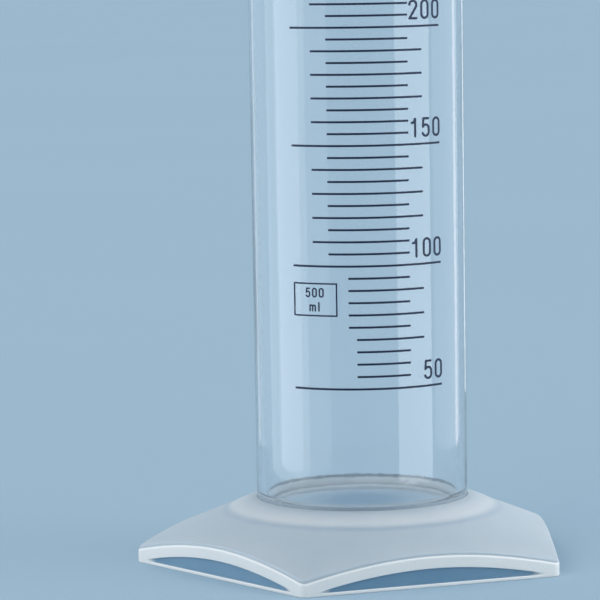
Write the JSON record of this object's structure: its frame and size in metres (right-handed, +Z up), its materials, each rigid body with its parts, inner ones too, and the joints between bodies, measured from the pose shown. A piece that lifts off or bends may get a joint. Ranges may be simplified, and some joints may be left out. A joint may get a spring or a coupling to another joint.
{
  "type": "graduated measuring cylinder",
  "caption": "Tall clear plastic measuring cylinder with a printed millilitre scale, a V-shaped pouring spout and a low frosted pentagonal foot.",
  "frame": {"origin": "on the tube's axis, on the table plane under the foot", "axes": "+Z up along the tube's axis towards the open rim; the printed scale faces -Y; the pouring spout points to -X, over a corner of the foot"},
  "size_m": [0.0984, 0.1032, 0.36],
  "materials": {
    "clear_tube": "clear polymethylpentene, moulded, glossy",
    "frosted_foot": "translucent white polypropylene, finely frosted",
    "scale_ink": "screen-printed ink, blue-black, satin"
  },
  "bodies": {
    "root": {"measuring_tube": "clear_tube", "pentagon_foot": "frosted_foot", "marks_every_50ml": "scale_ink", "marks_every_10ml": "scale_ink", "marks_every_5ml": "scale_ink", "capacity_frame": "scale_ink", "capacity_text": "scale_ink", "unit_mark": "scale_ink", "numeral_050": "scale_ink", "numeral_100": "scale_ink", "numeral_150": "scale_ink", "numeral_200": "scale_ink", "numeral_250": "scale_ink", "numeral_300": "scale_ink", "numeral_350": "scale_ink", "numeral_400": "scale_ink", "numeral_450": "scale_ink", "numeral_500": "scale_ink"}
  },
  "joints": []
}
